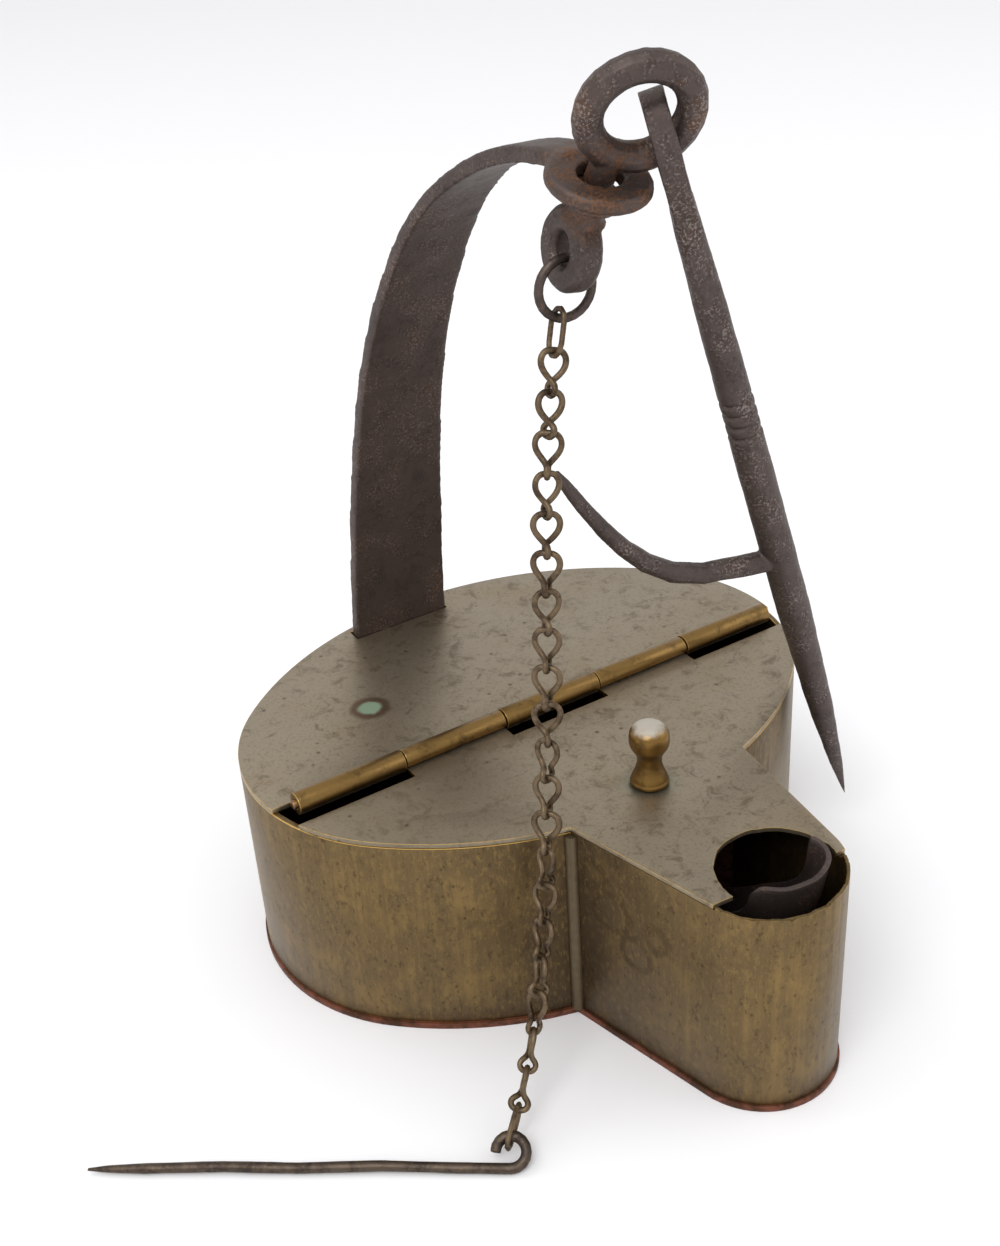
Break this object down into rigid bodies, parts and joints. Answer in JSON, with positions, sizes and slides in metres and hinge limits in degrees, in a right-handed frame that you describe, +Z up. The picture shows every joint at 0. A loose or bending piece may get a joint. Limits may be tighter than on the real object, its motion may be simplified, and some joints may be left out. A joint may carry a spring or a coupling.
{
  "type": "betty lamp",
  "caption": "Oval metal oil lamp with a spout, hinged lid, wick trough and strap handle; a swivel on the handle carries a spike hanger with a hook and a chain with a wick pick.",
  "frame": {"origin": "middle of the oval reservoir on the underside of the bottom plate, which is the table top", "axes": "+X along the lid hinge, -Y to the nose of the spout, +Y to the handle's foot, +Z up"},
  "size_m": [0.1192, 0.0917, 0.1201],
  "materials": {
    "wall_sheet": "aged sheet with brown patina",
    "cover_sheet": "dull grey patina over brass",
    "knob": "worn turned brass",
    "base_copper": "dark copper sheet",
    "solder": "dull solder",
    "iron": "old hand-worked iron, slightly rusty",
    "wire": "brown iron wire"
  },
  "bodies": {
    "lamp": {"reservoir_wall": "wall_sheet", "spout_wall": "wall_sheet", "solder_left": "solder", "solder_right": "solder", "bottom_plate": "base_copper", "rear_plate": "cover_sheet", "hinge_pin": "knob", "wick_trough": "iron", "handle": "iron"},
    "lid": {"lid": "cover_sheet", "lid_knob": "knob"},
    "swivel": {"swivel": "iron"},
    "spike": {"spike_hanger": "iron"},
    "ring": {"chain_ring": "iron"},
    "link_01": {"link_01": "wire"},
    "link_02": {"link_02": "wire"},
    "link_03": {"link_03": "wire"},
    "link_04": {"link_04": "wire"},
    "link_05": {"link_05": "wire"},
    "link_06": {"link_06": "wire"},
    "link_07": {"link_07": "wire"},
    "link_08": {"link_08": "wire"},
    "link_09": {"link_09": "wire"},
    "link_10": {"link_10": "wire"},
    "link_11": {"link_11": "wire"},
    "link_12": {"link_12": "wire"},
    "link_13": {"link_13": "wire"},
    "link_14": {"link_14": "wire"},
    "link_15": {"link_15": "wire"},
    "link_16": {"link_16": "wire"},
    "link_17": {"link_17": "wire"},
    "link_18": {"link_18": "wire"},
    "link_19": {"link_19": "wire"},
    "link_20": {"link_20": "wire"},
    "link_21": {"link_21": "wire"},
    "link_22": {"link_22": "wire"},
    "pick": {"wick_pick": "iron"}
  },
  "joints": [
    {"name": "lid_hinge", "type": "hinge", "parent": "lamp", "child": "lid", "pos_m": [0, -0.006, 0.0313], "axis": [-1, 0, 0], "range_deg": [0, 46]},
    {"name": "swivel_turn", "type": "hinge", "parent": "lamp", "child": "swivel", "pos_m": [-0.0035, -0.02576, 0.10649], "axis": [0.06, -0.5, 0.864], "range_deg": [-16, 2]},
    {"name": "spike_swing", "type": "hinge", "parent": "swivel", "child": "spike", "pos_m": [-0.00162, -0.03043, 0.11361], "axis": [-0.3321, -0.8262, -0.4551], "range_deg": [0, 24]},
    {"name": "ring_swing", "type": "hinge", "parent": "swivel", "child": "ring", "pos_m": [-0.00494, -0.02112, 0.09778], "axis": [-0.995, 0.0995, 0], "range_deg": [-1, 12]},
    {"name": "link_01_swing", "type": "hinge", "parent": "ring", "child": "link_01", "pos_m": [-0.006, -0.02101, 0.09125], "axis": [-0.9437, 0.0944, 0.317], "range_deg": [-1, 10]},
    {"name": "link_02_swing", "type": "hinge", "parent": "link_01", "child": "link_02", "pos_m": [-0.00737, -0.02187, 0.08743], "axis": [0.0964, 0.9634, -0.2502], "range_deg": [-1, 10]},
    {"name": "link_03_swing", "type": "hinge", "parent": "link_02", "child": "link_03", "pos_m": [-0.00842, -0.0226, 0.08402], "axis": [-0.9394, 0.2875, 0.1866], "range_deg": [-1, 10]},
    {"name": "link_04_swing", "type": "hinge", "parent": "link_03", "child": "link_04", "pos_m": [-0.00976, -0.02366, 0.07886], "axis": [-0.2368, -0.938, 0.2531], "range_deg": [-10, 3]},
    {"name": "link_05_swing", "type": "hinge", "parent": "link_04", "child": "link_05", "pos_m": [-0.01056, -0.02436, 0.07538], "axis": [0.9058, -0.4099, -0.1069], "range_deg": [-10, 1]},
    {"name": "link_06_swing", "type": "hinge", "parent": "link_05", "child": "link_06", "pos_m": [-0.01163, -0.02535, 0.07014], "axis": [0.3752, 0.8935, -0.2468], "range_deg": [-5, 10]},
    {"name": "link_07_swing", "type": "hinge", "parent": "link_06", "child": "link_07", "pos_m": [-0.01226, -0.02598, 0.06661], "axis": [-0.8464, 0.5304, 0.0474], "range_deg": [-1, 10]},
    {"name": "link_08_swing", "type": "hinge", "parent": "link_07", "child": "link_08", "pos_m": [-0.01316, -0.02695, 0.06133], "axis": [-0.5062, -0.829, 0.238], "range_deg": [-10, 9]},
    {"name": "link_09_swing", "type": "hinge", "parent": "link_08", "child": "link_09", "pos_m": [-0.01376, -0.02758, 0.05779], "axis": [0.7637, -0.6454, -0.014], "range_deg": [-10, 3]},
    {"name": "link_10_swing", "type": "hinge", "parent": "link_09", "child": "link_10", "pos_m": [-0.01464, -0.02851, 0.05251], "axis": [0.6248, 0.7445, -0.2355], "range_deg": [-10, 10]},
    {"name": "link_11_swing", "type": "hinge", "parent": "link_10", "child": "link_11", "pos_m": [-0.01525, -0.02915, 0.04897], "axis": [-0.6632, 0.7482, -0.0198], "range_deg": [-7, 10]},
    {"name": "link_12_swing", "type": "hinge", "parent": "link_11", "child": "link_12", "pos_m": [-0.01618, -0.03011, 0.0437], "axis": [-0.7285, -0.6393, 0.2463], "range_deg": [-4, 10]},
    {"name": "link_13_swing", "type": "hinge", "parent": "link_12", "child": "link_13", "pos_m": [-0.01683, -0.03077, 0.04018], "axis": [0.5038, -0.8611, 0.0679], "range_deg": [-10, 4]},
    {"name": "link_14_swing", "type": "hinge", "parent": "link_13", "child": "link_14", "pos_m": [-0.01787, -0.03179, 0.03494], "axis": [0.8424, 0.4724, -0.2591], "range_deg": [-4, 10]},
    {"name": "link_15_swing", "type": "hinge", "parent": "link_14", "child": "link_15", "pos_m": [-0.01861, -0.0325, 0.03145], "axis": [-0.3249, 0.9374, -0.1253], "range_deg": [-10, 4]},
    {"name": "link_16_swing", "type": "hinge", "parent": "link_15", "child": "link_16", "pos_m": [-0.0198, -0.0336, 0.02626], "axis": [-0.9203, -0.2829, 0.2702], "range_deg": [-4, 10]},
    {"name": "link_17_swing", "type": "hinge", "parent": "link_16", "child": "link_17", "pos_m": [-0.02073, -0.03444, 0.02284], "axis": [0.1327, -0.9658, 0.2228], "range_deg": [-10, 4]},
    {"name": "link_18_swing", "type": "hinge", "parent": "link_17", "child": "link_18", "pos_m": [-0.02236, -0.03582, 0.01783], "axis": [0.9452, 0.0557, -0.3217], "range_deg": [-4, 10]},
    {"name": "link_19_swing", "type": "hinge", "parent": "link_18", "child": "link_19", "pos_m": [-0.02356, -0.03679, 0.01453], "axis": [0.0781, 0.9016, -0.4255], "range_deg": [-8, 4]},
    {"name": "link_20_swing", "type": "hinge", "parent": "link_19", "child": "link_20", "pos_m": [-0.02597, -0.0387, 0.01004], "axis": [-0.8938, 0.2524, 0.3707], "range_deg": [-4, 10]},
    {"name": "link_21_swing", "type": "hinge", "parent": "link_20", "child": "link_21", "pos_m": [-0.02792, -0.04023, 0.00736], "axis": [-0.2552, -0.6067, 0.7528], "range_deg": [-10, 4]},
    {"name": "link_22_swing", "type": "hinge", "parent": "link_21", "child": "link_22", "pos_m": [-0.03135, -0.04286, 0.00407], "axis": [0.7319, -0.63, -0.2596], "range_deg": [-4, 10]},
    {"name": "pick_swing", "type": "hinge", "parent": "link_22", "child": "pick", "pos_m": [-0.03445, -0.0452, 0.00208], "axis": [-0.3105, -0.3639, 0.8782], "range_deg": [-3, 12]}
  ]
}
